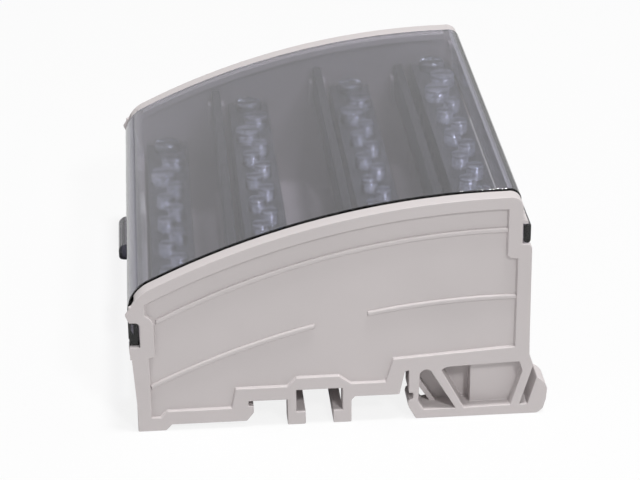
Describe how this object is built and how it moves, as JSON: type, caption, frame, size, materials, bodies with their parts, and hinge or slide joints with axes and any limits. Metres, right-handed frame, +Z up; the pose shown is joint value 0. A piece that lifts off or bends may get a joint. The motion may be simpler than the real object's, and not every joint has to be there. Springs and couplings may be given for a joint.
{
  "type": "power distribution block",
  "caption": "Rail-mounted power distribution block: stepped plated terminal bars with clamp screws in a grey plastic base, under an arched smoked hinged cover.",
  "frame": {"origin": "middle of the block's outline, on the plane of its feet", "axes": "+X across the rail from the low side to the high side, +Y along the rail, +Z up from the rail"},
  "size_m": [0.0918, 0.104, 0.0521],
  "materials": {
    "grey_plastic": "fine matt moulded surface",
    "smoked_plastic": "clear smoked, glossy",
    "tinned_metal": "dull tin plating on a drawn copper alloy bar",
    "zinc_steel": "bright zinc plating with a blue tint",
    "barrier_plastic": "matt, almost black"
  },
  "bodies": {
    "block": {"base": "grey_plastic", "terminal_bar_1": "tinned_metal", "terminal_bar_2": "tinned_metal", "terminal_bar_3": "tinned_metal", "terminal_bar_4": "tinned_metal", "line_screws_1": "zinc_steel", "line_screws_2": "zinc_steel", "line_screws_3": "zinc_steel", "line_screws_4": "zinc_steel", "branch_screws_1": "zinc_steel", "branch_screws_2": "zinc_steel", "branch_screws_3": "zinc_steel", "branch_screws_4": "zinc_steel", "bar_fixing_screws_1": "zinc_steel", "bar_fixing_screws_2": "zinc_steel", "bar_fixing_screws_3": "zinc_steel", "bar_fixing_screws_4": "zinc_steel", "barrier_1": "barrier_plastic", "barrier_2": "barrier_plastic", "barrier_3": "barrier_plastic"},
    "cover": {"cover": "smoked_plastic"}
  },
  "joints": [
    {"name": "cover_hinge", "type": "hinge", "parent": "block", "child": "cover", "pos_m": [0.04035, 0, 0.0419], "axis": [0, 1, 0], "range_deg": [0, 100]}
  ]
}
